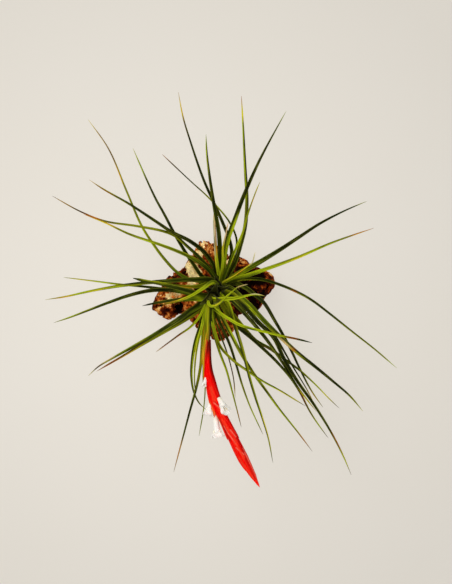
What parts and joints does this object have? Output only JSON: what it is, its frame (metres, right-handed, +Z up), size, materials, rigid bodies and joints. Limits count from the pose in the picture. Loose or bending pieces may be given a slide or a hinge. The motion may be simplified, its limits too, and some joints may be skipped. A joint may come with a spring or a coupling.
{
  "type": "air plant on cork bark",
  "caption": "Air plant with narrow arching leaves, a red flower spike and white flowers, grown on a flat-bottomed chunk of cork bark that stands by itself.",
  "frame": {"origin": "on the flat underside of the cork, below the heart of the plant", "axes": "+Z up out of the flat underside, -Y the way the flower spike leans, +X to the right as seen from above with the spike towards the viewer"},
  "size_m": [0.2172, 0.2292, 0.1043],
  "materials": {
    "cork": "matte, crumbly cork bark, red-brown with tan patches",
    "leaf": "matte, living leaf with fine scales, dark green to yellow-green with tan tips",
    "bract": "satin, smooth bright red bract",
    "petal": "matte, soft white petal"
  },
  "bodies": {
    "root": {"cork_bark": "cork", "leafy_stem": "leaf", "flower_spike": "bract", "flower_1": "petal", "flower_2": "petal", "flower_3": "petal", "flower_4": "petal"}
  },
  "joints": []
}
